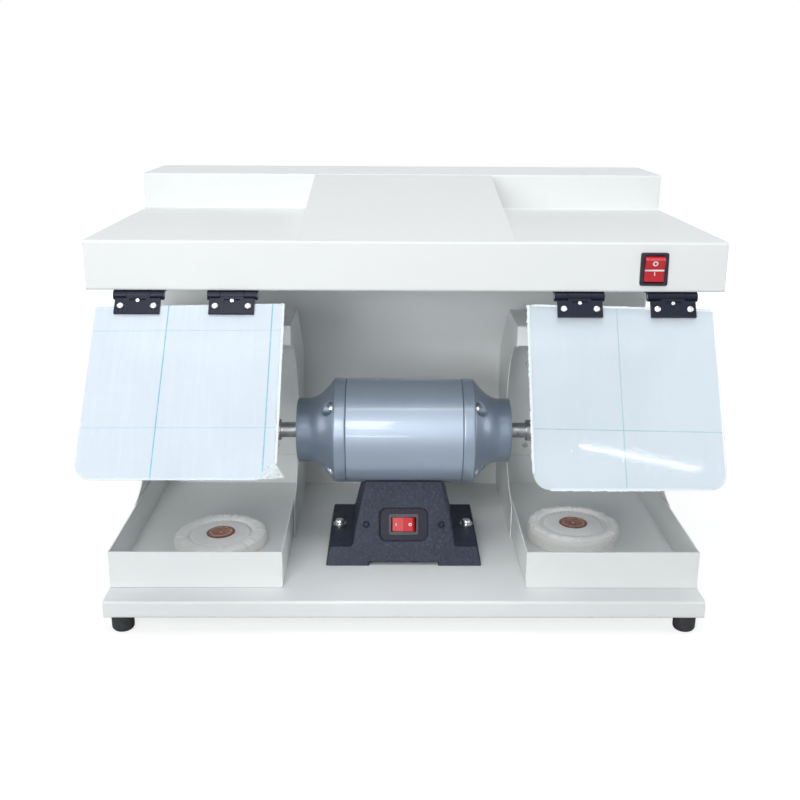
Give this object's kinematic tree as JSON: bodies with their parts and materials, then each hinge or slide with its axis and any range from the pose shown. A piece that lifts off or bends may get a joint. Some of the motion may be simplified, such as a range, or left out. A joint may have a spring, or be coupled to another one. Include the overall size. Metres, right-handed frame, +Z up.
{
  "type": "dental polishing lathe",
  "caption": "Bench polishing lathe for a dental laboratory: motor with a tapered spindle at each end between dust bays, pull-out trays, swing-up clear shields, lamp hood and suction column.",
  "frame": {"origin": "bench level under the centre of the whole object's bounding box", "axes": "+Z up, +X to the user's right, the user stands at -Y"},
  "size_m": [0.6, 0.5192, 0.4185],
  "materials": {
    "cream_coat": "semi-gloss powder coat",
    "foot_rubber": "moulded",
    "zinc": "zinc plated",
    "black_coat": "satin",
    "black_plastic": "moulded",
    "red_rocker": "glossy",
    "lamp_white": "satin",
    "lamp_glass": "frosted",
    "filter_mat": "fleece",
    "motor_paint": "metallic gloss",
    "pedestal_paint": "painted casting",
    "bare_aluminium": "drawn",
    "laminations": "stacked sheet",
    "copper": "varnished wire",
    "shaft_steel": "turned",
    "clear_acrylic": "clear sheet under a pale blue film",
    "cotton": "stitched cotton",
    "leather": "worn"
  },
  "bodies": {
    "cabinet": {"base_pan": "cream_coat", "rubber_feet": "foot_rubber", "foot_screws": "zinc", "rear_column": "cream_coat", "rear_cover": "cream_coat", "rear_cover_screws": "zinc", "hood_shell": "cream_coat", "ramp_cover": "cream_coat", "left_bay_hood": "cream_coat", "right_bay_hood": "cream_coat", "column_screws": "zinc", "hood_screws": "zinc", "bay_screws": "zinc", "hinge_top_leaves": "black_coat", "hinge_pins": "zinc", "hinge_top_screws": "zinc", "hood_switch_body": "black_plastic", "power_inlet": "black_plastic", "lamp_batten": "lamp_white", "lamp_tube": "lamp_glass", "fan_frames": "black_plastic", "fan_screws": "zinc", "filter_pads": "filter_mat", "motor_pedestal": "pedestal_paint", "pedestal_bolts": "zinc", "switch_plate": "black_coat", "switch_plate_screws": "black_coat", "motor_switch_body": "black_plastic", "capacitor": "bare_aluminium", "motor_barrel": "motor_paint", "stator_stack": "laminations", "stator_windings": "copper", "left_end_cap": "motor_paint", "right_end_cap": "motor_paint", "tie_bolts": "zinc", "left_bearing": "zinc", "right_bearing": "zinc"},
    "rotor": {"rotor_shaft": "shaft_steel", "rotor_core": "laminations", "left_spindle": "shaft_steel", "right_spindle": "shaft_steel", "spindle_set_screws": "shaft_steel"},
    "left_impeller": {"left_impeller": "black_plastic"},
    "right_impeller": {"right_impeller": "black_plastic"},
    "left_shield": {"left_shield": "clear_acrylic", "left_hinge_leaves": "black_coat", "left_shield_screws": "zinc"},
    "right_shield": {"right_shield": "clear_acrylic", "right_hinge_leaves": "black_coat", "right_shield_screws": "zinc"},
    "left_tray": {"left_tray": "cream_coat", "left_buff": "cotton", "left_buff_washer": "leather"},
    "right_tray": {"right_tray": "cream_coat", "right_buff": "cotton", "right_buff_washer": "leather"},
    "hood_rocker": {"hood_rocker": "red_rocker"},
    "motor_rocker": {"motor_rocker": "red_rocker"}
  },
  "joints": [
    {"name": "motor_spin", "type": "hinge", "parent": "cabinet", "child": "rotor", "pos_m": [0, -0.04203, 0.163], "axis": [1, 0, 0], "continuous": true},
    {"name": "left_fan_spin", "type": "hinge", "parent": "cabinet", "child": "left_impeller", "pos_m": [-0.20735, 0.14737, 0.139], "axis": [0, 1, 0], "continuous": true},
    {"name": "right_fan_spin", "type": "hinge", "parent": "cabinet", "child": "right_impeller", "pos_m": [0.20735, 0.14737, 0.139], "axis": [0, 1, 0], "continuous": true},
    {"name": "left_shield_swing", "type": "hinge", "parent": "cabinet", "child": "left_shield", "pos_m": [-0.20735, -0.13853, 0.3269], "axis": [-1, 0, 0], "range_deg": [-41, 49]},
    {"name": "right_shield_swing", "type": "hinge", "parent": "cabinet", "child": "right_shield", "pos_m": [0.20735, -0.13853, 0.3269], "axis": [-1, 0, 0], "range_deg": [-31, 59]},
    {"name": "left_tray_slide", "type": "slide", "parent": "cabinet", "child": "left_tray", "axis": [0, -1, 0], "range_m": [0, 0.14]},
    {"name": "right_tray_slide", "type": "slide", "parent": "cabinet", "child": "right_tray", "axis": [0, -1, 0], "range_m": [0, 0.14]},
    {"name": "hood_switch_tip", "type": "hinge", "parent": "cabinet", "child": "hood_rocker", "pos_m": [0.2315, -0.13953, 0.354], "axis": [-1, 0, 0], "range_deg": [0, 20]},
    {"name": "motor_switch_tip", "type": "hinge", "parent": "cabinet", "child": "motor_rocker", "pos_m": [0, -0.08597, 0.0722], "axis": [0, 0.3733, 0.9277], "range_deg": [0, 20]}
  ]
}
